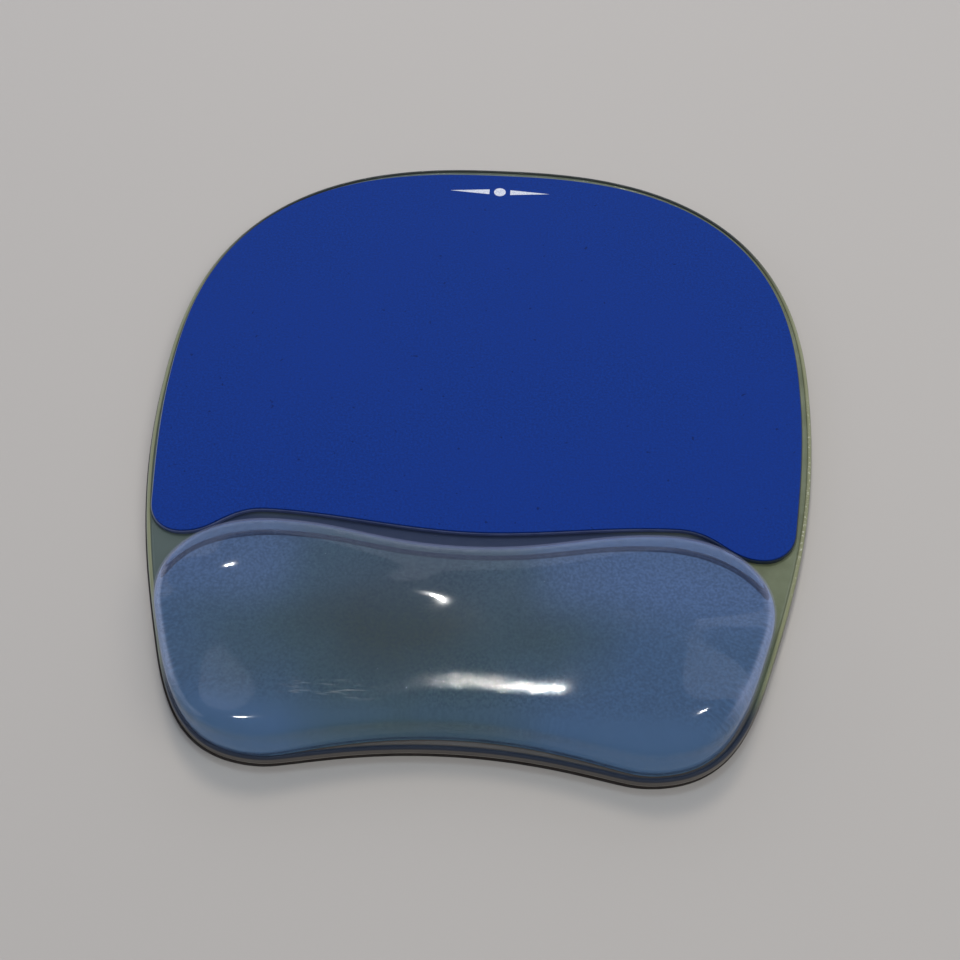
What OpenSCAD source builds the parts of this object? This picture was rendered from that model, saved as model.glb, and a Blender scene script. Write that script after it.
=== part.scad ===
// Mouse pad with a built-in gel wrist rest.
// A moulded tray is bonded to a non-slip sheet. It carries a knit-faced pad
// towards the back, and a gel cushion sealed in a clear skin along the front.
// Millimetres. +X is right, +Y is back, +Z is up, and the origin is the middle
// of the underside, on the surface that the part lies on.

/* [Base] */
// Width of the base at its widest
base_w = 202; // [196:1:212]
// Depth of the base, from its front lobes to the middle of its back
base_d = 235; // [231:1:245]
// Thickness of the non-slip sheet
sheet_t = 1.2; // [0.8:0.1:2]
// How far the non-slip sheet stands out past the tray
sheet_lip = 0.4; // [0.2:0.1:1]
// Thickness of the tray's floor
floor_t = 2; // [1.5:0.1:3]
// Height of the tray's rim above its floor
rim_h = 0.6; // [0.3:0.1:1]
// Width of the tray's rim
rim_w = 1.4; // [1:0.1:1.6]
// How far the bonded tray sits to the right of the sheet's middle
tray_right = 0.3; // [-0.3:0.1:0.3]
// How far the bonded tray sits in front of the sheet's middle
tray_front = 0.3; // [0:0.1:0.3]

/* [Mouse pad] */
// Thickness of the carrier under the fabric
backing_t = 1.2; // [0.8:0.1:2]
// Thickness of the knit fabric
fabric_t = 0.5; // [0.3:0.1:0.8]
// Width of the pad at its widest
pad_w = 196; // [190:1:197]
// Distance from the base's back edge to the pad's back edge
pad_back_gap = 5; // [3:0.5:8]
// How far the carrier stands out past the fabric
backing_lip = 0.3; // [0.1:0.1:0.5]
// Sideways offset of the glued pad
pad_shift = -0.2; // [-0.5:0.1:0.5]

/* [Printed ornament] */
// Length of the ornament, tip to tip
mark_w = 34; // [20:1:60]
// Radius of its middle dot
mark_dot_r = 2; // [1:0.1:2.5]
// Distance from the pad's back edge to the ornament
mark_gap = 8.5; // [6:0.5:20]

/* [Gel cushion] */
// Height of the end lobes above the underside, before the hollow is taken out
lobe_top = 21.5; // [20:0.5:26]
// Height of the waist above the underside, before the hollow is taken out
waist_top = 16.5; // [15:0.5:20]
// Depth of the hollow in the end lobes
lobe_dish = 7; // [4:0.5:8]
// Depth of the hollow in the waist
waist_dish = 0.6; // [0:0.1:2]
// Height of the widest level of the bulge above the underside
bulge_z = 9.5; // [8:0.5:12]
// Distance from the base's edge to the bulge at the corners
bulge_gap = 1.5; // [1.2:0.1:2.4]
// How far the bulge overhangs the cushion's foot
overhang = 2; // [1.5:0.1:2.5]
// Thickness of the clear skin
skin_t = 0.5; // [0.3:0.1:0.8]
// Width of the welded flange round the foot
weld_w = 0.8; // [0.5:0.1:1]
// Turn of the glued cushion, in degrees
gel_turn = 0.5; // [-0.5:0.1:0.5]

/* [Films] */
// Thickness of each adhesive film
glue_t = 0.1; // [0.1:0.05:0.2]
// Thickness of the film that closes the gel underneath
film_t = 0.3; // [0.2:0.05:0.5]

/* [Hidden] */

// Stack of levels
tray_z = sheet_t;
floor_z = tray_z + floor_t;
backing_z = floor_z + glue_t;
fabric_z = backing_z + backing_t;
pad_z = fabric_z + fabric_t;
ink_t = 0.05;
weld_t = 0.4;
film_z = floor_z + glue_t;
foot_z = film_z + film_t;
weld_z = foot_z + weld_t;

// Points along each curve
curve_steps = 12;
back_steps = 24;
end_steps = 10;
corner_steps = 2;

// Base outline: the back is a superellipse, the rest is a chain of curves
half_w = base_w / 2;
half_d = base_d / 2;
back_power = 2.52;
shoulder_y = 14;
corner = [half_w - 16, 36 - half_d];
corner_lean = [-sin(17), -cos(17)];
front_lobe = [50, -half_d];
front_middle = [0, 6 - half_d];

// Pad outline
pad_half_w = pad_w / 2;
pad_back_y = half_d - pad_back_gap;
pad_power = 2.6;
pad_corner_top = [pad_half_w - 4, -36];
pad_corner_low = [84, -45.8];
pad_crest = [60, -36.3];
pad_middle = [0, -41.1];
pad_lean = [-0.12, -1];

// Bulge outline of the cushion, taken at its widest level
bulge_back_middle = [0, -51.5];
bulge_back_lobe = [55, -45.4];
bulge_end = [half_w - 14.9, -68];
bulge_corner = corner + bulge_gap * [-1, 0.3];
bulge_front_lobe = front_lobe + [0.5, 0.4];
bulge_front_middle = front_middle + [0, 2];

// The cushion's rings close on a line along its middle
spine_y = -73.9;
spine_ratio = 0.75;
top_steps = [0, 0.01, 0.03, 0.07, 0.12, 0.19, 0.28, 0.38, 0.5, 0.64, 0.8, 0.96];
foot_steps = [0.1, 0.4, 0.75];
waist_half = 94;
hollow_power = 0.65;

// Soft swells of the skin: place in x and y, height and spread
swells = [
    [-70.7, -66.8, 1.2, 6],
    [43, -85, 1.4, 14.2],
    [-61.9, -116.7, 1.1, 6],
    [71.9, -101.5, 1.6, 6]];
swell_edge = 0.07;

// How squarely the top turns down to its edge, at the back, the front and the ends
shoulder_back = 3.6;
shoulder_front = 6.9;
shoulder_end = 2.5;

function mix(a, b, t) = a + (b - a) * t;

function cubic(a, b, c, d, t) =
    a * pow(1 - t, 3) + 3 * b * t * pow(1 - t, 2) + 3 * c * t * t * (1 - t) + d * pow(t, 3);

// A curve from a to b that leaves along da and arrives along db, without b itself
function curve(a, da, b, db, steps) =
    [for (i = [0 : steps - 1]) cubic(a, a + da, b - db, b, i / steps)];

// A quarter of a superellipse, from the middle of the back to the widest point
function back_arc(w, y, y_back, power) =
    [for (i = [0 : back_steps - 1])
        let (angle = 90 * i / back_steps)
        [w * pow(sin(angle), 2 / power), y + (y_back - y) * pow(cos(angle), 2 / power)]];

// The right half, from the back to the front, followed by its mirror image
function both_halves(right, last) =
    concat(right, [last], [for (i = [len(right) - 1 : -1 : 1]) [-right[i][0], right[i][1]]]);

// Moves each point of a clockwise outline inwards by d
function inset(points, d) =
    let (n = len(points))
    [for (i = [0 : n - 1])
        let (along = points[(i + 1) % n] - points[(i + n - 1) % n], size = norm(along))
        points[i] + d * [along[1], -along[0]] / size];

base_outline = both_halves(
    concat(
        back_arc(half_w, shoulder_y, half_d, back_power),
        curve([half_w, shoulder_y], [0, -43], corner, 25 * corner_lean, curve_steps),
        curve(corner, 21 * corner_lean, front_lobe, [-22, 0], curve_steps),
        curve(front_lobe, [-7, 0], front_middle, [-27, 0], curve_steps)),
    front_middle);

pad_outline = both_halves(
    concat(
        back_arc(pad_half_w, shoulder_y, pad_back_y, pad_power),
        curve([pad_half_w, shoulder_y], [0, -20], pad_corner_top, 10 * pad_lean, curve_steps),
        curve(pad_corner_top, 5.5 * pad_lean, pad_corner_low, [-5.5, 0], curve_steps),
        curve(pad_corner_low, [-10, 0], pad_crest, [-12, 0], curve_steps),
        curve(pad_crest, [-20, 0], pad_middle, [-20, 0], curve_steps)),
    pad_middle);

// The same number of points runs along the back and the front of each half
bulge_outline = both_halves(
    concat(
        curve(bulge_back_middle, [25, 0], bulge_back_lobe, [22, 0], end_steps),
        curve(bulge_back_lobe, [17, 0], bulge_end, [0, -13], end_steps),
        curve(bulge_end, [0, -5], bulge_corner, 4 * corner_lean, corner_steps),
        curve(bulge_corner, 20 * corner_lean, bulge_front_lobe, [-22, 0], end_steps),
        curve(bulge_front_lobe, [-7, 0], bulge_front_middle, [-27, 0], end_steps - corner_steps)),
    bulge_front_middle);

// A ring of the undercut, a fraction t of the way up from the foot to the bulge
function foot_ring(outline, t) =
    let (ring = inset(outline, overhang * (1 - sqrt(1 - pow(1 - t, 2)))))
    [for (p = ring) [p[0], p[1], mix(foot_z, bulge_z, t)]];

function sum(values) = len(values) == 0 ? 0 : values * [for (v = values) 1];

// How much a swell raises the top at a place
function swell_height(swell, place) =
    let (far = norm(place - [swell[0], swell[1]]) / swell[3])
    swell[2] * exp(-far * far / 2);

// The swells fade out at the very edge of the top
function swell_share(s) = let (edge = min(s / swell_edge, 1)) edge * edge * (3 - 2 * edge);

// The power of the shoulder's curve above point i of the outline
function shoulder_power(outline, i) =
    let (
        n = len(outline),
        along = outline[(i + 1) % n] - outline[(i + n - 1) % n],
        facing = along[0] / norm(along))
    mix(shoulder_end, facing > 0 ? shoulder_back : shoulder_front, facing * facing);

// A ring of the top, a fraction s of the way in to the spine, lowered by drop
function top_ring(outline, s, drop) =
    [for (i = [0 : len(outline) - 1])
        let (
            p = outline[i],
            power = shoulder_power(outline, i),
            place = mix(p, [p[0] * spine_ratio, spine_y], s),
            lift = (1 - cos(min(abs(place[0]) / waist_half, 1) * 180)) / 2,
            height = mix(waist_top, lobe_top, lift) - bulge_z - drop,
            shoulder = pow(1 - pow(1 - s, power), 1 / power),
            dish = mix(waist_dish, lobe_dish, lift),
            hollow = dish * pow(sin(s * 90), hollow_power),
            raised = swell_share(s) * sum([for (swell = swells) swell_height(swell, place)]))
        [place[0], place[1], bulge_z + height * shoulder - hollow + raised]];

function level_ring(points, z) = [for (p = points) [p[0], p[1], z]];

function backwards(list) = [for (i = [len(list) - 1 : -1 : 0]) list[i]];

// The cushion's rings from its foot to its spine, inset and lowered by d
function cushion_rings(d) =
    let (outline = inset(bulge_outline, d))
    concat(
        [for (t = foot_steps) foot_ring(outline, t)],
        [for (s = top_steps) top_ring(outline, s, d)]);

foot_outline = inset(bulge_outline, overhang);
core_rings = concat(
    [level_ring(inset(foot_outline, skin_t), foot_z)],
    cushion_rings(skin_t));
skin_rings = concat(
    backwards(core_rings),
    [level_ring(inset(foot_outline, -weld_w), foot_z)],
    [level_ring(inset(foot_outline, -weld_w), weld_z)],
    cushion_rings(0));

// The faces between consecutive rings of n points
function wall_faces(count, n) =
    [for (r = [0 : count - 2], i = [0 : n - 1])
        let (a = r * n + i, b = r * n + (i + 1) % n)
        each [[a, b, b + n], [a, b + n, a + n]]];

// The strip along the spine that joins the back half of a ring to its front half
function seam_faces(first, n) =
    [for (side = [0, 1], i = [0 : n / 4 - 1])
        let (
            back = side == 0 ? [i, i + 1] : [n - i - 1, (n - i) % n],
            front = side == 0 ? [n / 2 - i - 1, n / 2 - i] : [n / 2 + i, n / 2 + i + 1],
            quad = [first + back[0], first + back[1], first + front[0], first + front[1]])
        each [for (t = [[quad[0], quad[1], quad[2]], [quad[0], quad[2], quad[3]]])
            if (t[0] != t[1] && t[1] != t[2] && t[2] != t[0]) t]];

function flipped(faces) = [for (face = faces) backwards(face)];

module solid_of_rings(rings, first_faces) {
    n = len(rings[0]);
    polyhedron(
        points = [for (ring = rings) each ring],
        faces = concat(
            first_faces,
            wall_faces(len(rings), n),
            seam_faces(n * (len(rings) - 1), n)),
        convexity = 6);
}

module plate(points, z, t) {
    translate([0, 0, z])
        linear_extrude(height = t)
            polygon(points);
}

module placed_pad() {
    translate([pad_shift, 0, 0])
        children();
}

module placed_gel() {
    translate([0, spine_y, 0])
        rotate(gel_turn)
            translate([0, -spine_y, 0])
                children();
}

module nonslip_sheet() {
    color([0.12, 0.11, 0.1])
        plate(base_outline, 0, sheet_t);
}

module base_tray() {
    tray_outline = inset(base_outline, sheet_lip);
    color([0.46, 0.49, 0.4])
        translate([tray_right, -tray_front, 0])
            difference() {
                plate(tray_outline, tray_z, floor_t + rim_h);
                plate(inset(tray_outline, rim_w), floor_z, 2 * rim_h);
            }
}

module pad_adhesive() {
    color([0.85, 0.85, 0.8])
        placed_pad()
            plate(inset(pad_outline, backing_lip), floor_z, glue_t);
}

module pad_backing() {
    color([0.7, 0.74, 0.7])
        placed_pad()
            plate(inset(pad_outline, -backing_lip), backing_z, backing_t);
}

module pad_fabric() {
    color([0.1, 0.2, 0.53])
        placed_pad()
            plate(pad_outline, fabric_z, fabric_t);
}

// A dot between two tapering strokes
module printed_ornament() {
    stroke_gap = 0.8 * mark_dot_r;
    stroke_half = 0.6 * mark_dot_r;
    color([0.85, 0.87, 0.9])
        placed_pad()
            translate([0, pad_back_y - mark_gap, pad_z]) {
                cylinder(r = mark_dot_r, h = ink_t, $fn = 48);
                for (side = [-1, 1])
                    linear_extrude(height = ink_t)
                        polygon([
                            [side * (mark_dot_r + stroke_gap), stroke_half],
                            [side * mark_w / 2, 0],
                            [side * (mark_dot_r + stroke_gap), -stroke_half]]);
            }
}

module gel_adhesive() {
    color([0.8, 0.82, 0.8])
        placed_gel()
            plate(inset(foot_outline, skin_t), floor_z, glue_t);
}

module gel_backing_film() {
    color([0.6, 0.66, 0.7])
        placed_gel()
            plate(inset(foot_outline, -weld_w), film_z, film_t);
}

module gel_core() {
    n = len(foot_outline);
    color([0.3, 0.38, 0.45])
        placed_gel()
            solid_of_rings(core_rings, [[for (i = [n - 1 : -1 : 0]) i]]);
}

module gel_skin() {
    color([0.42, 0.48, 0.6, 0.6])
        placed_gel()
            solid_of_rings(skin_rings, flipped(seam_faces(0, len(foot_outline))));
}

nonslip_sheet();
base_tray();
pad_adhesive();
pad_backing();
pad_fabric();
printed_ornament();
gel_adhesive();
gel_backing_film();
gel_core();
gel_skin();
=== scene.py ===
"""A mouse pad with a gel wrist rest: the looks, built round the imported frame.

Metres, in the frame of the CAD part: +X right, +Y back, +Z up, and the origin in
the middle of the underside.
"""

import math

import bmesh
import bpy
import numpy as np
from mathutils import Matrix, Vector


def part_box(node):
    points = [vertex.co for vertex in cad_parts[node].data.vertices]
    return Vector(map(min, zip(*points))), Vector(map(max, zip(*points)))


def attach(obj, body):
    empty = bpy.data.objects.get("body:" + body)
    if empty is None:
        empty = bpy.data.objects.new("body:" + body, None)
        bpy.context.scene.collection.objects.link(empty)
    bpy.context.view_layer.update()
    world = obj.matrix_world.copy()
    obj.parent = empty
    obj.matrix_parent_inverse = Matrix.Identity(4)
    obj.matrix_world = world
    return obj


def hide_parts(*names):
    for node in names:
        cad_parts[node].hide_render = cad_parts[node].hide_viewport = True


MM = 0.001

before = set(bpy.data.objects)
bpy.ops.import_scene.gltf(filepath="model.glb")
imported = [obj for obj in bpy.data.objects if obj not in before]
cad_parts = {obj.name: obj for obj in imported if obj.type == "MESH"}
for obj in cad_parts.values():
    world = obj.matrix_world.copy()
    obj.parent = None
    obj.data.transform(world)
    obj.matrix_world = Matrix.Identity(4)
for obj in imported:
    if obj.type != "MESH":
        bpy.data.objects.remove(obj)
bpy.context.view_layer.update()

# ---------------------------------------------------------------- outlines

LEVEL_TOLERANCE = 0.005 * MM
KNOTS_PER_POINT = 12


def level_outline(node, z):
    """The longest loop of a CAD node's edges at height z, as points in order."""
    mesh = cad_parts[node].data
    points = {}
    links = {}
    for face in mesh.polygons:
        keys = []
        for i in face.vertices:
            co = mesh.vertices[i].co
            if abs(co.z - z) < LEVEL_TOLERANCE:
                key = (round(co.x / MM, 3), round(co.y / MM, 3))
                points[key] = (co.x, co.y)
                keys.append(key)
        if len(keys) == 2 and keys[0] != keys[1]:
            links.setdefault(keys[0], set()).add(keys[1])
            links.setdefault(keys[1], set()).add(keys[0])
    loops = []
    left = set(links)
    while left:
        here = left.pop()
        loop = [here]
        ahead = [k for k in links[here] if k in left]
        while ahead:
            here = ahead[0]
            left.discard(here)
            loop.append(here)
            ahead = [k for k in links[here] if k in left]
        loops.append(np.array([points[k] for k in loop]))
    return max(loops, key=loop_length)


def loop_length(loop):
    """The length round a closed loop of points."""
    return np.linalg.norm(np.roll(loop, -1, axis=0) - loop, axis=1).sum()


def signed_area(loop):
    """The area in a closed loop, positive where it runs anticlockwise."""
    ahead = np.roll(loop, -1, axis=0)
    return 0.5 * np.sum(loop[:, 0] * ahead[:, 1] - loop[:, 1] * ahead[:, 0])


def spline_second(values, steps):
    """Second derivatives of the periodic cubic spline through values."""
    n = len(values)
    before = np.roll(steps, 1)
    matrix = np.zeros((n, n))
    for i in range(n):
        matrix[i, i - 1] += before[i]
        matrix[i, i] += 2 * (before[i] + steps[i])
        matrix[i, (i + 1) % n] += steps[i]
    rise = (np.roll(values, -1, axis=0) - values) / steps[:, None]
    return np.linalg.solve(matrix, 6 * (rise - np.roll(rise, 1, axis=0)))


def smooth_loop(loop, count, start=(0.0, 1.0)):
    """count points, evenly spaced, on a smooth curve through the loop, anticlockwise.

    The first one is the furthest along the direction start.
    """
    if signed_area(loop) < 0:
        loop = loop[::-1]
    loop = np.roll(loop, -int(np.argmax(loop @ np.array(start))), axis=0)
    steps = np.linalg.norm(np.roll(loop, -1, axis=0) - loop, axis=1)
    second = spline_second(loop, steps)
    knots = np.concatenate([[0], np.cumsum(steps)])
    fine = even_knots(knots, loop, second, steps, count)
    return spline_points(fine, knots, loop, second, steps)


def spline_points(at, knots, loop, second, steps):
    """Points of the spline at the given places along its knots."""
    i = np.clip(np.searchsorted(knots, at, side="right") - 1, 0, len(loop) - 1)
    j = (i + 1) % len(loop)
    h = steps[i][:, None]
    b = (at - knots[i])[:, None] / h
    a = 1 - b
    bend = ((a**3 - a) * second[i] + (b**3 - b) * second[j]) * h**2 / 6
    return a * loop[i] + b * loop[j] + bend


def even_knots(knots, loop, second, steps, count):
    """Places along the spline that are evenly spaced by its own length."""
    dense = np.linspace(0, knots[-1], KNOTS_PER_POINT * count, endpoint=False)
    points = spline_points(dense, knots, loop, second, steps)
    gaps = np.linalg.norm(np.roll(points, -1, axis=0) - points, axis=1)
    far = np.concatenate([[0], np.cumsum(gaps)])
    ends = np.concatenate([dense, [knots[-1]]])
    return np.interp(np.arange(count) * far[-1] / count, far, ends)


def outward(loop):
    """Unit normals of an anticlockwise loop, pointing out of it."""
    along = np.roll(loop, -1, axis=0) - np.roll(loop, 1, axis=0)
    along /= np.linalg.norm(along, axis=1)[:, None]
    return np.stack([along[:, 1], -along[:, 0]], axis=1)


# ---------------------------------------------------------------- meshes


def mesh_piece(name, points, faces, material, slot, nodes):
    """A smooth-shaded piece on the root body that stands for the given CAD nodes."""
    mesh = bpy.data.meshes.new(name)
    mesh.from_pydata([tuple(p) for p in points], [], faces)
    mesh.validate()
    mesh.polygons.foreach_set("use_smooth", [True] * len(mesh.polygons))
    mesh.materials.append(material)
    piece = bpy.data.objects.new(name, mesh)
    bpy.context.scene.collection.objects.link(piece)
    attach(piece, "root")
    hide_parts(*nodes)
    return piece


def wall_faces(rings, n):
    """Four-sided faces between rings of n points each."""
    return [
        (r * n + i, r * n + (i + 1) % n, (r + 1) * n + (i + 1) % n, (r + 1) * n + i)
        for r in range(rings - 1)
        for i in range(n)
    ]


def swept(outline, profile):
    """Points and faces of a closed solid: the profile of (inset, z) carried round the
    outline from the middle of the underside to the middle of the top."""
    n = len(outline)
    normals = outward(outline)
    rings = []
    for inset, z in profile:
        flat = outline - inset * normals
        rings.append(np.column_stack([flat, np.full(n, z)]))
    faces = wall_faces(len(profile), n)
    last = (len(profile) - 1) * n
    faces.append(tuple(range(n - 1, -1, -1)))
    faces.append(tuple(range(last, last + n)))
    return np.concatenate(rings), faces


def arc(centre, radius, first, last, steps):
    """Points of an arc in the plane of the profile, with angles in degrees."""
    out = []
    for k in range(steps + 1):
        a = math.radians(first + (last - first) * k / steps)
        out.append((centre[0] + radius * math.cos(a), centre[1] + radius * math.sin(a)))
    return out


def plate_profile(z0, z1, low_round, top_round):
    """A plate's edge, as (inset, z), with its two edges rounded."""
    support = 0.35 * MM
    low = arc((low_round, z0 + low_round), low_round, 270, 180, 4)
    top = arc((top_round, z1 - top_round), top_round, 180, 90, 5)
    middle = [(0, z0 + 0.5 * (z1 - z0))]
    return (
        [(low_round + support, z0)]
        + low
        + middle
        + top
        + [(top_round + support, z1), (top_round + 3 * support, z1)]
    )


# ---------------------------------------------------------------- materials

# The grain pressed into the cushion, which the gel and the skin share
PRESSED_STRENGTH = 0.4
PRESSED_DEPTH = 0.02 * MM


def srgb(code):
    """A colour given as #rrggbb, as linear values."""
    out = []
    for i in (1, 3, 5):
        v = int(code[i : i + 2], 16) / 255
        out.append(v / 12.92 if v <= 0.04045 else ((v + 0.055) / 1.055) ** 2.4)
    return (*out, 1.0)


class Nodes:
    """A material's node tree, with short ways to add to it."""

    def __init__(self, name):
        self.material = bpy.data.materials.new(name)
        self.material.use_nodes = True
        self.tree = self.material.node_tree
        self.tree.nodes.clear()
        self.output = self.add("ShaderNodeOutputMaterial")
        self.coords = self.add("ShaderNodeTexCoord").outputs["Object"]

    def add(self, kind, **settings):
        node = self.tree.nodes.new(kind)
        for key, value in settings.items():
            setattr(node, key, value)
        return node

    def link(self, a, b):
        self.tree.links.new(a, b)

    def shader(self, **values):
        node = self.add("ShaderNodeBsdfPrincipled")
        for key, value in values.items():
            node.inputs[key.replace("_", " ")].default_value = value
        self.link(node.outputs["BSDF"], self.output.inputs["Surface"])
        return node

    def noise(self, scale, detail=2.0, rough=0.5, stretch=(1, 1, 1)):
        """Noise from about 0.3 to 0.7, with scale in cells a metre."""
        place = self.add("ShaderNodeMapping")
        place.inputs["Scale"].default_value = stretch
        self.link(self.coords, place.inputs["Vector"])
        node = self.add("ShaderNodeTexNoise")
        node.inputs["Scale"].default_value = scale
        node.inputs["Detail"].default_value = detail
        node.inputs["Roughness"].default_value = rough
        self.link(place.outputs["Vector"], node.inputs["Vector"])
        return node.outputs["Fac"]

    def ramp(self, value, *stops):
        """A colour by value, from stops of (place, colour)."""
        node = self.add("ShaderNodeValToRGB")
        ramp = node.color_ramp
        for k, (place, colour) in enumerate(stops):
            if k >= len(ramp.elements):
                ramp.elements.new(place)
            ramp.elements[k].position = place
            ramp.elements[k].color = colour
        self.link(value, node.inputs["Fac"])
        return node.outputs["Color"]

    def span(self, value, low, high, to_low=0.0, to_high=1.0):
        """A smooth step of value, from to_low at low to to_high at high."""
        node = self.add("ShaderNodeMapRange", interpolation_type="SMOOTHSTEP")
        node.inputs["From Min"].default_value = low
        node.inputs["From Max"].default_value = high
        node.inputs["To Min"].default_value = to_low
        node.inputs["To Max"].default_value = to_high
        self.link(value, node.inputs["Value"])
        return node.outputs["Result"]

    def maths(self, operation, a, b=None, c=None):
        node = self.add("ShaderNodeMath", operation=operation)
        for socket, value in zip(node.inputs, (a, b, c)):
            if value is None:
                continue
            if isinstance(value, (int, float)):
                socket.default_value = value
            else:
                self.link(value, socket)
        return node.outputs["Value"]

    def product(self, *values):
        """All the values multiplied, from the first on."""
        total = values[0]
        for value in values[1:]:
            total = self.maths("MULTIPLY", total, value)
        return total

    def mix(self, factor, a, b):
        """Colour a where factor is 0, and b where it is 1."""
        node = self.add("ShaderNodeMix", data_type="RGBA")
        for key, value in ((0, factor), (6, a), (7, b)):
            if isinstance(value, (int, float, tuple)):
                node.inputs[key].default_value = value
            else:
                self.link(value, node.inputs[key])
        return node.outputs[2]

    def axes(self):
        """The x, y and z of the point being shaded, in metres."""
        node = self.add("ShaderNodeSeparateXYZ")
        self.link(self.coords, node.inputs["Vector"])
        return node.outputs

    def bump(self, shader, height, strength, distance):
        node = self.add("ShaderNodeBump")
        node.inputs["Strength"].default_value = strength
        node.inputs["Distance"].default_value = distance
        self.link(height, node.inputs["Height"])
        self.link(node.outputs["Normal"], shader.inputs["Normal"])


def rubber_material():
    """Matt dark foam rubber."""
    n = Nodes("foam_rubber")
    shader = n.shader(IOR=1.5)
    colour = n.ramp(n.noise(900, 4), (0.3, srgb("#1d1916")), (0.75, srgb("#332b26")))
    n.link(colour, shader.inputs["Base Color"])
    n.link(n.span(n.noise(300, 3), 0.3, 0.7, 0.7, 0.9), shader.inputs["Roughness"])
    n.bump(shader, n.noise(2500, 3), 0.4, 0.1 * MM)
    return n.material


def tray_front_colour_and_shadow(n, z):
    """The rim's front side: pale at its foot, dark grey above, and darkest on top, where a
    shadow under the cushion's overhang is painted.
    """
    side = n.mix(n.span(z, 1.75 * MM, 1.5 * MM), srgb("#5c5650"), srgb("#aaa398"))
    # Painted shadow: the top of the front rim, under the cushion's overhang, is darkest
    return n.mix(n.span(z, 3.2 * MM, 3.45 * MM), side, srgb("#272e3c"))


def tray_channel_shade_mask(n, x, y, z):
    """The recess between the pad and the cushion, which lies in shade; that shade is
    painted dark.
    """
    deep = n.product(n.span(y, -66 * MM, -58 * MM), n.span(y, -34 * MM, -39 * MM))
    wide = n.product(n.span(x, -80 * MM, -72 * MM), n.span(x, 82 * MM, 74 * MM))
    return n.product(deep, wide, n.span(z, 3.7 * MM, 3.4 * MM))


def tray_pale_specks_mask(n, x, y, z):
    """Pale specks on the top of the rim at the right."""
    side = n.span(x, 88 * MM, 97 * MM)
    deep = n.product(n.span(y, -75 * MM, -45 * MM), n.span(y, 25 * MM, -10 * MM))
    specks = n.span(n.noise(1500, 3, 0.6), 0.56, 0.66)
    return n.product(side, deep, n.span(z, 3.5 * MM, 3.75 * MM), specks)


def tray_material():
    """Olive translucent plastic, mottled, with pale specks at the right of its rim, and
    painted light and shade: a highlight on the rim's top, shade on the back rim, shadow on
    the front under the cushion and in the recess behind it.
    """
    n = Nodes("olive_tray")
    shader = n.shader(IOR=1.49, Coat_Weight=0.35, Coat_Roughness=0.12)
    x, y, z = n.axes()
    colour = n.ramp(
        n.noise(90, 5, 0.6), (0.3, srgb("#5c6348")), (0.7, srgb("#727a60"))
    )
    colour = n.mix(n.span(x, -60 * MM, 100 * MM), srgb("#4d5a56"), colour)
    # Painted highlight along the top of the rim's bead
    rim_top_highlight = n.span(z, 3.4 * MM, 3.7 * MM)
    colour = n.mix(n.product(rim_top_highlight, 0.7), colour, srgb("#8a8c66"))
    # Painted shade on the top of the rim at the back
    back = n.product(n.span(y, 45 * MM, 90 * MM), n.span(z, 3.3 * MM, 3.5 * MM))
    colour = n.mix(back, colour, srgb("#272d28"))
    # The front side's colours, with a painted shadow on its top under the cushion
    front = n.span(y, -84 * MM, -100 * MM)
    colour = n.mix(front, colour, tray_front_colour_and_shadow(n, z))
    # Painted shade in the recess between the pad and the cushion
    channel_shade = tray_channel_shade_mask(n, x, y, z)
    colour = n.mix(channel_shade, colour, srgb("#2b3650"))
    colour = n.mix(tray_pale_specks_mask(n, x, y, z), colour, srgb("#c9c9b4"))
    n.link(colour, shader.inputs["Base Color"])
    rough = n.span(n.noise(160, 4), 0.3, 0.7, 0.34, 0.5)
    rough = n.maths("ADD", rough, n.product(channel_shade, 0.45))
    n.link(rough, shader.inputs["Roughness"])
    n.bump(shader, n.noise(500, 3), 0.15, 0.08 * MM)
    return n.material


def carrier_material():
    """Slate blue plastic, darker towards the right, where a shadow along the pad's edge is
    painted, and paler at the left edge.
    """
    n = Nodes("pad_carrier_plastic")
    shader = n.shader(IOR=1.5, Coat_Weight=0.2, Coat_Roughness=0.2)
    x, _, _ = n.axes()
    colour = n.ramp(n.noise(200, 3), (0.3, srgb("#46527c")), (0.7, srgb("#56628c")))
    # Painted shadow along the pad's right edge
    colour = n.mix(n.span(x, 50 * MM, 84 * MM), colour, srgb("#1c2a3c"))
    colour = n.mix(n.span(x, -90 * MM, -96 * MM), colour, srgb("#76828e"))
    n.link(colour, shader.inputs["Base Color"])
    n.link(n.span(n.noise(400, 3), 0.3, 0.7, 0.3, 0.5), shader.inputs["Roughness"])
    n.bump(shader, n.noise(900, 2), 0.1, 0.05 * MM)
    return n.material


def knit_material():
    """Royal blue knit: rows of fine loops, with a few dark specks of lint."""
    n = Nodes("blue_knit")
    shader = n.shader(
        IOR=1.4, Sheen_Weight=0.12, Sheen_Roughness=0.5, Specular_IOR_Level=0.25
    )
    shader.inputs["Sheen Tint"].default_value = srgb("#8ea4e8")
    x, y, _ = n.axes()
    loop_pitch = 0.42 * MM
    across = n.maths("SINE", n.product(x, 2 * math.pi / loop_pitch))
    down = n.maths("SINE", n.product(y, 2 * math.pi / loop_pitch))
    loops = n.product(across, down)
    grain = n.noise(1400, 3, 0.65)
    cloud = n.noise(18, 3, 0.5)
    base = n.ramp(grain, (0.32, srgb("#0a2970")), (0.7, srgb("#143a90")))
    base = n.mix(n.span(cloud, 0.35, 0.65, 0.0, 0.35), base, srgb("#123284"))
    lint = n.span(n.noise(520, 2, 0.5), 0.735, 0.76)
    base = n.mix(n.product(lint, 0.6), base, srgb("#0a1640"))
    n.link(base, shader.inputs["Base Color"])
    n.link(n.span(grain, 0.3, 0.7, 0.75, 0.95), shader.inputs["Roughness"])
    weave = n.maths("MULTIPLY_ADD", loops, 0.35, grain)
    n.bump(shader, weave, 0.35, 0.12 * MM)
    return n.material


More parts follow.
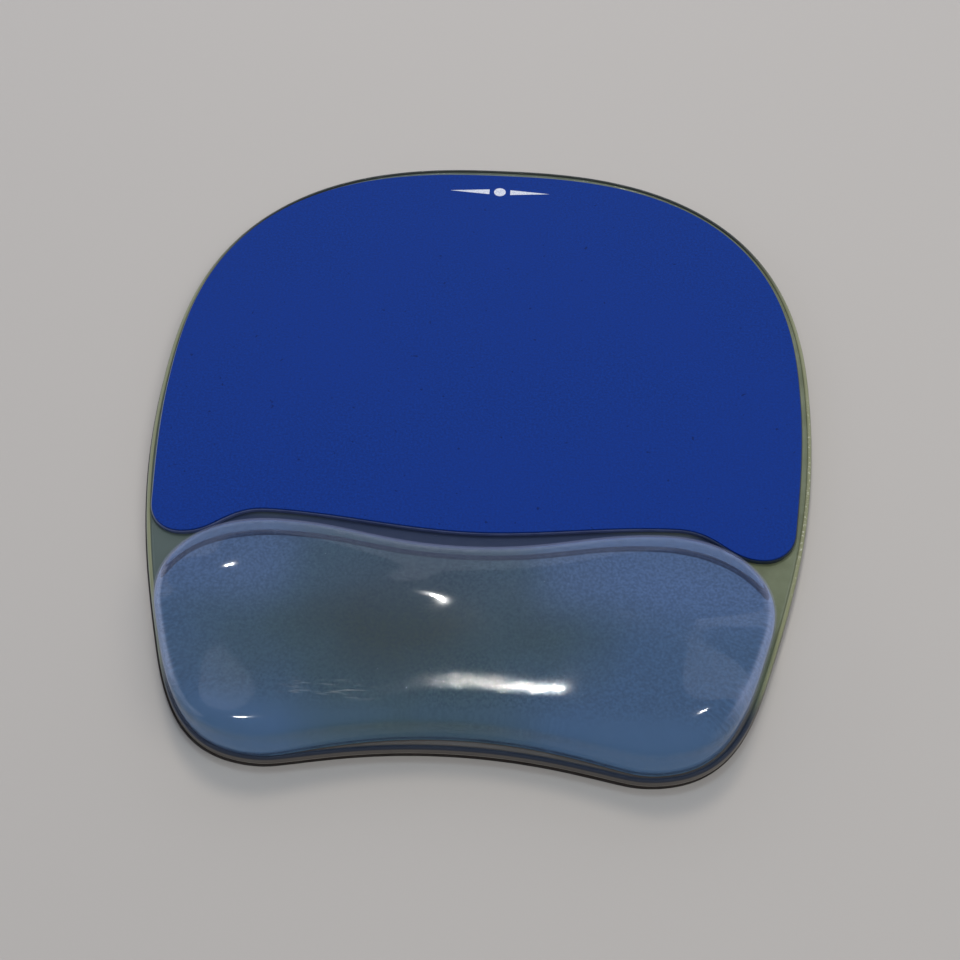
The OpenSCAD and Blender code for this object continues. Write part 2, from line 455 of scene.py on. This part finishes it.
def ink_material():
    """White ink, thin in places."""
    n = Nodes("printed_white_ink")
    shader = n.shader(IOR=1.5, Specular_IOR_Level=0.3)
    thin = n.span(n.noise(1800, 3, 0.6), 0.3, 0.62)
    n.link(n.mix(thin, srgb("#b4bad2"), srgb("#dcdfe8")), shader.inputs["Base Color"])
    n.link(n.span(n.noise(700, 2), 0.3, 0.7, 0.5, 0.75), shader.inputs["Roughness"])
    n.bump(shader, n.noise(1400, 3), 0.3, 0.08 * MM)
    return n.material


def glue_material():
    """Pale cloudy glue."""
    n = Nodes("clear_glue")
    shader = n.shader(IOR=1.47)
    colour = n.ramp(n.noise(120, 3), (0.3, srgb("#8d9080")), (0.7, srgb("#a5a796")))
    n.link(colour, shader.inputs["Base Color"])
    n.link(n.span(n.noise(250, 3), 0.3, 0.7, 0.25, 0.5), shader.inputs["Roughness"])
    n.bump(shader, n.noise(300, 2), 0.2, 0.03 * MM)
    return n.material


def film_distance(n, from_middle, y):
    """How far a point is from the film's middle, as a share of the way to its ends."""
    sideways = n.maths("POWER", n.maths("DIVIDE", from_middle, 70 * MM), 2.0)
    offset = n.maths("SUBTRACT", y, -72 * MM)
    endways = n.maths("POWER", n.maths("DIVIDE", offset, 44 * MM), 2.0)
    away = n.maths("SQRT", n.maths("ADD", sideways, endways))
    cloud = n.noise(25, 3, 0.5)
    return n.maths("ADD", away, n.span(cloud, 0.3, 0.7, -0.1, 0.1))


def film_material():
    """The film under the gel: olive grey in the middle, with a painted reflection of blue
    light that turns it blue-grey towards the ends and pale blue towards the back.
    """
    n = Nodes("pouch_film")
    shader = n.shader(IOR=1.5)
    x, y, _ = n.axes()
    from_middle = n.maths("SUBTRACT", x, -14 * MM)
    # Painted reflection: the colour turns blue-grey towards the ends
    colour = n.ramp(
        film_distance(n, from_middle, y),
        (0.15, srgb("#565f38")),
        (0.55, srgb("#5d766a")),
        (1.0, srgb("#688aa6")),
    )
    sides = n.span(n.maths("ABSOLUTE", from_middle), 22 * MM, 50 * MM)
    # Painted light: pale blue towards the back, most at the ends
    behind = n.product(n.span(y, -80 * MM, -58 * MM), n.span(sides, 0, 1, 0.15, 0.58))
    colour = n.mix(behind, colour, srgb("#8fa6d2"))
    grain = n.noise(1300, 3, 0.6)
    grain_share = n.product(
        n.span(grain, 0.35, 0.65, 0.0, 0.35), n.span(y, -106 * MM, -97 * MM)
    )
    colour = n.mix(grain_share, colour, srgb("#2c3844"))
    n.link(colour, shader.inputs["Base Color"])
    n.link(n.span(grain, 0.3, 0.7, 0.5, 0.7), shader.inputs["Roughness"])
    n.bump(shader, n.noise(400, 2), 0.08, 0.05 * MM)
    return n.material


def grain_height(n):
    """Fine grain pressed into the skin along the front of the waist."""
    x, y, _ = n.axes()
    deep = n.product(n.span(y, -112 * MM, -104 * MM), n.span(y, -88 * MM, -96 * MM))
    wide = n.product(n.span(x, -60 * MM, -25 * MM), n.span(x, 42 * MM, 12 * MM))
    return n.product(n.noise(3200, 2), n.product(deep, wide))


def pass_shadow_rays(n, shader, colour):
    """Let lamp light go straight through the shader's surface, tinted by colour."""
    clear = n.add("ShaderNodeBsdfTransparent")
    clear.inputs["Color"].default_value = colour
    rays = n.add("ShaderNodeLightPath")
    either = n.add("ShaderNodeMixShader")
    n.link(rays.outputs["Is Shadow Ray"], either.inputs["Fac"])
    n.link(shader.outputs["BSDF"], either.inputs[1])
    n.link(clear.outputs["BSDF"], either.inputs[2])
    n.link(either.outputs["Shader"], n.output.inputs["Surface"])


def gel_material():
    """Clear blue-grey gel. Lamp light passes straight through it, so that what lies
    under it is lit."""
    n = Nodes("clear_gel")
    shader = n.shader(IOR=1.45, Transmission_Weight=1.0, Roughness=0.03)
    cloud = n.span(n.noise(40, 3), 0.3, 0.7)
    colour = n.mix(cloud, srgb("#e4ecf4"), srgb("#eef2f8"))
    n.link(colour, shader.inputs["Base Color"])
    n.bump(shader, grain_height(n), PRESSED_STRENGTH, PRESSED_DEPTH)
    pass_shadow_rays(n, shader, (0.82, 0.88, 0.93, 1))
    volume = n.add("ShaderNodeVolumeAbsorption")
    volume.inputs["Color"].default_value = (0.55, 0.72, 0.85, 1)
    volume.inputs["Density"].default_value = 28.0
    n.link(volume.outputs["Volume"], n.output.inputs["Volume"])
    return n.material


def scratch_and_glint_mask(n):
    """Thin broken lines along the front left of the waist: scratches, painted white as
    glints of the lamp.
    """
    x, y, _ = n.axes()
    area = n.product(
        n.span(x, -48 * MM, -42 * MM),
        n.span(x, -16 * MM, -26 * MM),
        n.span(y, -106 * MM, -103.5 * MM),
        n.span(y, -98.5 * MM, -100.5 * MM),
    )
    lines = n.span(n.noise(1100, 2, 0.5, (0.14, 1.3, 1)), 0.58, 0.66, 0.0, 0.55)
    return n.product(area, lines)


def shoulder_reflection_mask(n):
    """The skin's back and end shoulders, where a pale reflection is painted on the steep
    slopes.
    """
    _, y, z = n.axes()
    normal = n.add("ShaderNodeSeparateXYZ")
    n.link(n.add("ShaderNodeNewGeometry").outputs["True Normal"], normal.inputs[0])
    steep = n.span(normal.outputs[2], 0.975, 0.87)
    high = n.span(z, 10 * MM, 12 * MM)
    behind = n.span(y, -108 * MM, -96 * MM)
    return n.product(steep, n.product(high, behind))


def skin_material():
    """Clear glossy skin, with a painted reflection on its shoulders, and scratches along
    the waist that are painted white as glints.
    """
    n = Nodes("clear_skin_film")
    shader = n.shader(IOR=1.5, Alpha=0.14)
    colour = n.mix(n.noise(30, 3), srgb("#4c5678"), srgb("#535e80"))
    # Painted reflection on the steep shoulders
    colour = n.mix(shoulder_reflection_mask(n), colour, srgb("#bcc4ea"))
    # Scratches, painted white as glints of the lamp
    colour = n.mix(scratch_and_glint_mask(n), colour, srgb("#f4f6fa"))
    n.link(colour, shader.inputs["Base Color"])
    n.link(n.span(n.noise(120, 4), 0.3, 0.7, 0.05, 0.09), shader.inputs["Roughness"])
    n.bump(shader, grain_height(n), PRESSED_STRENGTH, PRESSED_DEPTH)
    return n.material


# ---------------------------------------------------------------- base and pad

BASE_POINTS = 480
PAD_POINTS = 480


def top_of(node):
    """The height of a CAD node's top."""
    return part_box(node)[1].z


def foot_of(node):
    """The height of a CAD node's underside."""
    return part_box(node)[0].z


def plate_piece(name, node, points, rounds, material, slot):
    """A thin plate with the outline of a CAD node, smoothed and with rounded edges."""
    outline = smooth_loop(level_outline(node, top_of(node)), points)
    profile = plate_profile(foot_of(node), top_of(node), *rounds)
    made = swept(outline, profile)
    return mesh_piece(name, *made, material, slot, [node])


def tray_piece(material):
    """The moulded tray: a rounded bead all round a shallow recess."""
    node = "base_tray"
    z0 = foot_of(node)
    z1 = top_of(node)
    floor_z = foot_of("pad_adhesive")
    bead = 0.7 * MM
    foot = 0.3 * MM
    fillet = 0.25 * MM
    outline = smooth_loop(level_outline(node, z1), BASE_POINTS)
    inner = 2 * bead
    profile = (
        [(foot + 0.5 * MM, z0)]
        + arc((foot, z0 + foot), foot, 270, 180, 4)
        + [(0, 0.5 * (z0 + z1))]
        + arc((bead, z1 - bead), bead, 180, 10, 14)
        + [(inner + 0.01 * MM, floor_z + fillet)]
        + [(inner + fillet, floor_z)]
        + [(inner + fillet + 0.4 * MM, floor_z), (inner + fillet + 1.2 * MM, floor_z)]
    )
    made = swept(outline, profile)
    return mesh_piece("moulded_tray", *made, material, "tray_plastic", [node])


# ---------------------------------------------------------------- gel cushion

GEL_TURN = math.radians(0.5)
SPINE_Y = -73.88 * MM
SPINE_RATIO = 0.75
BULGE_Z = 9.5 * MM
OVERHANG = 2.0 * MM
SKIN = 0.5 * MM
LOBE_TOP = 21.58 * MM
WAIST_TOP = 16.58 * MM
LOBE_DISH = 6.95 * MM
WAIST_DISH = 0.65 * MM
HOLLOW_POWER = 0.65
# How squarely the top turns down to its edge
SHOULDER_BACK = 3.64
SHOULDER_FRONT = 6.88
SHOULDER_END = 2.51
WAIST_HALF = 94.42 * MM
# Soft swells of the skin, each as its place (x, y), its height and its spread in x and y
SWELLS = [
    (-70.67 * MM, -66.76 * MM, 1.22 * MM, 6.01 * MM, 6.01 * MM),
    (42.96 * MM, -85 * MM, 1.4 * MM, 14.21 * MM, 14.21 * MM),
    (-61.91 * MM, -116.73 * MM, 1.1 * MM, 6.03 * MM, 6.03 * MM),
    (71.85 * MM, -101.54 * MM, 1.62 * MM, 6.03 * MM, 6.03 * MM),
    (-17.2 * MM, -69.1 * MM, 0.4 * MM, 9 * MM, 3.6 * MM),
    (18 * MM, -98.5 * MM, 0.15 * MM, 26 * MM, 7 * MM),
]
# How near its edge the top is when the swells reach their full height
SWELL_EDGE = 0.07
GEL_STATIONS = 120
DENSE_POINTS = 4000
TOP_RINGS = 44
# Above 1, the top's rings crowd towards its edge
RING_CROWDING = 1.9
FOOT_RINGS = 12
FLOOR_SHARES = (1, 0.6, 0.25, 0.05)
WELD_DISTANCE = 0.002 * MM


def turned(flat, angle):
    """Points turned by angle about the middle of the spine."""
    c, s = math.cos(angle), math.sin(angle)
    x = flat[:, 0]
    y = flat[:, 1] - SPINE_Y
    return np.column_stack([c * x - s * y, s * x + c * y + SPINE_Y])


def bulge_outline():
    """The cushion's widest outline, before it is turned: matching points run along its
    back and its front, from the left end to the right end and back again."""
    level = turned(level_outline("gel_skin", BULGE_Z), -GEL_TURN)
    dense = smooth_loop(level, DENSE_POINTS, (-1, 0))
    right = int(np.argmax(dense[:, 0]))
    front = dense[: right + 1]
    back = np.vstack([dense[right:], dense[:1]])[::-1]
    angles = np.linspace(-90, 90, GEL_STATIONS + 1)
    reach = 0.5 * (dense[right, 0] - dense[0, 0])
    middle = 0.5 * (dense[right, 0] + dense[0, 0])
    x = middle + reach * np.sin(np.radians(angles))
    y_front = np.interp(x, front[:, 0], front[:, 1])
    y_back = np.interp(x, back[:, 0], back[:, 1])
    over = np.column_stack([x, y_back])
    under = np.column_stack([x, y_front])[::-1]
    under[0] = over[-1]
    return np.vstack([over[:-1], under[:-1]])[::-1]


def swell_height(place, s):
    """How much the swells raise the top at each place; nothing at the very edge."""
    edge = min(s / SWELL_EDGE, 1)
    share = edge * edge * (3 - 2 * edge)
    total = np.zeros(len(place))
    for x, y, height, wide, deep in SWELLS:
        far = ((place[:, 0] - x) / wide) ** 2 + ((place[:, 1] - y) / deep) ** 2
        total += height * np.exp(-far / 2)
    return share * total


def shoulder_powers(outline):
    """The power of the shoulder's curve above each point of the outline."""
    facing = outward(outline)[:, 1]
    across = np.where(facing > 0, SHOULDER_BACK, SHOULDER_FRONT)
    return SHOULDER_END + (across - SHOULDER_END) * facing**2


def top_ring(outline, s, drop):
    """A ring of the top, a share s of the way in to the spine, lowered by drop."""
    inner = np.column_stack([outline[:, 0] * SPINE_RATIO, np.full(len(outline), SPINE_Y)])
    place = outline + (inner - outline) * s
    lift = 0.5 - 0.5 * np.cos(np.minimum(np.abs(place[:, 0]) / WAIST_HALF, 1) * math.pi)
    height = WAIST_TOP + (LOBE_TOP - WAIST_TOP) * lift - BULGE_Z - drop
    power = shoulder_powers(outline)
    shoulder = (1 - (1 - s) ** power) ** (1 / power)
    dish = WAIST_DISH + (LOBE_DISH - WAIST_DISH) * lift
    hollow = dish * math.sin(s * math.pi / 2) ** HOLLOW_POWER
    z = BULGE_Z + height * shoulder - hollow
    return np.column_stack([place, z + swell_height(place, s)])


def foot_ring(outline, t, foot_z):
    """A ring of the undercut, a share t of the way up from the foot to the bulge."""
    inset = OVERHANG * (1 - math.sqrt(1 - (1 - t) ** 2))
    flat = outline - inset * outward(outline)
    return np.column_stack([flat, np.full(len(flat), foot_z + (BULGE_Z - foot_z) * t)])


def cushion_rings(outline, foot_z, drop):
    """Rings of the cushion's outside, from its foot up to its spine."""
    shape = outline - drop * outward(outline)
    rings = [foot_ring(shape, k / FOOT_RINGS, foot_z) for k in range(FOOT_RINGS)]
    for k in range(TOP_RINGS + 1):
        s = (k / TOP_RINGS) ** RING_CROWDING
        rings.append(top_ring(shape, s, drop))
    return rings


def level_ring(flat, z):
    """A flat ring at height z."""
    return np.column_stack([flat, np.full(len(flat), z)])


def floor_rings(outline, inset, z):
    """Rings that close the flat underside, from its spine out to its edge."""
    edge = outline - inset * outward(outline)
    inner = np.column_stack([edge[:, 0] * SPINE_RATIO, np.full(len(edge), SPINE_Y)])
    return [level_ring(edge + (inner - edge) * s, z) for s in FLOOR_SHARES]


def ring_solid(name, rings, material, slot, nodes):
    """A closed piece from rings that start and end folded flat on the spine."""
    n = len(rings[0])
    points = np.concatenate(rings)
    flat = turned(points[:, :2], GEL_TURN)
    points = np.column_stack([flat, points[:, 2]])
    faces = wall_faces(len(rings), n)
    piece = mesh_piece(name, points, faces, material, slot, nodes)
    weld_spine(piece)
    return piece


def weld_spine(piece):
    """Join the points that fold onto each other along the spine."""
    work = bmesh.new()
    work.from_mesh(piece.data)
    bmesh.ops.remove_doubles(work, verts=work.verts, dist=WELD_DISTANCE)
    bmesh.ops.recalc_face_normals(work, faces=work.faces)
    work.to_mesh(piece.data)
    work.free()


def gel_body(material):
    """The gel, bedded a little into the film under it."""
    foot_z = top_of("gel_backing_film") - 0.05 * MM
    outline = bulge_outline()
    rings = floor_rings(outline, SKIN + OVERHANG, foot_z)
    rings += cushion_rings(outline, foot_z, SKIN)
    piece = ring_solid("gel_body", rings, material, "gel", ["gel_core"])
    return piece


def gel_cover(material):
    """The clear skin: a thin shell round the gel, with its welded flange at the foot."""
    foot_z = foot_of("gel_skin")
    weld_z = foot_z + 0.4 * MM
    weld = 0.8 * MM
    gap = 0.02 * MM
    outline = bulge_outline()
    normals = outward(outline)
    inner = cushion_rings(outline, foot_z, SKIN - gap)[::-1]
    outer = cushion_rings(outline, foot_z, 0)
    foot = outline - OVERHANG * normals
    flange = [
        level_ring(foot + weld * normals, foot_z),
        level_ring(foot + weld * normals, weld_z),
        level_ring(foot + 0.3 * weld * normals, weld_z + 0.05 * MM),
    ]
    rings = inner + flange + outer[1:]
    return ring_solid("gel_cover", rings, material, "clear_skin", ["gel_skin"])


# ---------------------------------------------------------------- the pieces

plate_piece(
    "nonslip_base", "nonslip_sheet", BASE_POINTS, (0.1 * MM, 0.1 * MM),
    rubber_material(), "nonslip_rubber",
)
tray_piece(tray_material())
glue = glue_material()
plate_piece(
    "pad_glue", "pad_adhesive", PAD_POINTS, (0.02 * MM, 0.02 * MM), glue, "adhesive"
)
plate_piece(
    "pad_carrier", "pad_backing", PAD_POINTS, (0.15 * MM, 0.2 * MM),
    carrier_material(), "backing_plastic",
)
knit = plate_piece(
    "knit_surface", "pad_fabric", PAD_POINTS, (0.02 * MM, 0.2 * MM),
    knit_material(), "blue_knit",
)
knit_low, knit_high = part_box("pad_fabric")
knit_area = abs(signed_area(level_outline("pad_fabric", knit_high.z)))
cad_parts["printed_ornament"].data.materials.clear()
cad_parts["printed_ornament"].data.materials.append(ink_material())
plate_piece(
    "gel_glue", "gel_adhesive", PAD_POINTS, (0.02 * MM, 0.02 * MM), glue, "adhesive"
)
plate_piece(
    "pouch_film", "gel_backing_film", PAD_POINTS, (0.05 * MM, 0.05 * MM),
    film_material(), "clear_film",
)
gel_body(gel_material())
gel_cover(skin_material())

# ---------------------------------------------------------------- studio

FLOOR_HALF = 3.0
FLOOR_DROP = 0.05 * MM
LAMP_TARGET = (0, -0.085, 0.018)
WARM = (1.0, 0.98, 0.95)
WARMER = (1.0, 0.98, 0.92)
COOL = (0.95, 0.97, 1.0)
BACK_BLUE = (0.8, 0.84, 1.0)
LEFT_BLUE = (0.8, 0.86, 1.0)
RIGHT_BLUE = (0.85, 0.88, 1.0)
SKY_BLUE = (0.78, 0.84, 1.0, 1)


def floor_material():
    """A plain pale matt floor."""
    n = Nodes("pale_floor")
    shader = n.shader(Roughness=0.9, Specular_IOR_Level=0.2)
    shader.inputs["Base Color"].default_value = srgb("#b9b5b0")
    return n.material


def make_floor():
    """A large floor just under the object."""
    mesh = bpy.data.meshes.new("studio_floor")
    sides = [(-1, -1), (1, -1), (1, 1), (-1, 1)]
    corners = [(x * FLOOR_HALF, y * FLOOR_HALF, -FLOOR_DROP) for x, y in sides]
    mesh.from_pydata(corners, [], [(0, 1, 2, 3)])
    mesh.materials.append(floor_material())
    floor = bpy.data.objects.new("studio_floor", mesh)
    bpy.context.scene.collection.objects.link(floor)


def from_angles(azimuth, elevation):
    """The direction towards a place. Azimuth 0 is the front and 90 the right."""
    a = math.radians(azimuth)
    e = math.radians(elevation)
    return np.array(
        [math.sin(a) * math.cos(e), -math.cos(a) * math.cos(e), math.sin(e)]
    )


def area_lamp(name, azimuth, elevation, distance, size, power, colour, mirrored=True):
    """A lamp facing the object, round if its two sizes are the same. mirrored says
    whether glossy surfaces show it."""
    data = bpy.data.lights.new(name, "AREA")
    data.shape = "RECTANGLE" if size[0] != size[1] else "DISK"
    data.size, data.size_y = size
    data.energy = power
    data.color = colour
    lamp = bpy.data.objects.new(name, data)
    towards = from_angles(azimuth, elevation)
    lamp.location = np.array(LAMP_TARGET) + distance * towards
    lamp.rotation_euler = Vector(-towards).to_track_quat("-Z", "Y").to_euler()
    lamp.visible_glossy = mirrored
    lamp.visible_transmission = mirrored
    bpy.context.scene.collection.objects.link(lamp)


def make_lights():
    """One small lamp high behind, a wide soft wall behind, low soft walls at the sides,
    and three soft fills that glossy surfaces don't show."""
    # name, azimuth, elevation, distance, size, power, colour
    area_lamp("key", 185.1, 59.3, 1.4, (0.017, 0.017), 0.45, WARM)
    area_lamp("key_fill", 185, 60, 1.4, (0.4, 0.4), 7.6, WARM, mirrored=False)
    area_lamp("right_fill", 70, 50, 1.5, (1.0, 1.0), 6.0, WARMER, mirrored=False)
    area_lamp("front_fill", 10, 62, 1.6, (1.2, 1.2), 4.0, COOL, mirrored=False)
    area_lamp("back_wall", 180, 25.6, 1.6, (3.0, 1.42), 11.0, BACK_BLUE)
    area_lamp("left_wall", 265, 12, 1.5, (1.8, 0.8), 6.0, LEFT_BLUE)
    area_lamp("right_wall", 98, 12, 1.5, (1.8, 0.8), 2.2, RIGHT_BLUE)


def make_world():
    """A dim, even, pale blue sky."""
    world = bpy.data.worlds.new("studio_world")
    world.use_nodes = True
    sky = world.node_tree.nodes["Background"]
    sky.inputs["Color"].default_value = SKY_BLUE
    sky.inputs["Strength"].default_value = 0.2
    bpy.context.scene.world = world


def make_camera():
    """The photo's angle: from the front, a little to the right, and well above."""
    azimuth = 4.329
    elevation = 51.985
    roll = math.radians(-0.534)
    distance = 480.42 * MM
    target = np.array([1.231, -18.131, 0]) * MM
    back = from_angles(azimuth, elevation)
    right = np.cross(-back, (0, 0, 1))
    right /= np.linalg.norm(right)
    up = np.cross(right, -back)
    side = right * math.cos(roll) + up * math.sin(roll)
    top = -right * math.sin(roll) + up * math.cos(roll)
    data = bpy.data.cameras.new("camera")
    data.sensor_width = 36
    data.lens = 60
    camera = bpy.data.objects.new("camera", data)
    turn = Matrix([list(row) for row in np.column_stack([side, top, back])])
    camera.matrix_world = (
        Matrix.Translation(list(target + distance * back)) @ turn.to_4x4()
    )
    data.clip_start = 0.01
    data.clip_end = 20
    bpy.context.scene.collection.objects.link(camera)
    bpy.context.scene.camera = camera


def set_colours():
    """Colours shown as they are, with no film look."""
    settings = bpy.context.scene.view_settings
    settings.view_transform = "Standard"
    settings.look = "None"
    settings.exposure = 0.0


make_floor()
make_lights()
make_world()
make_camera()
set_colours()
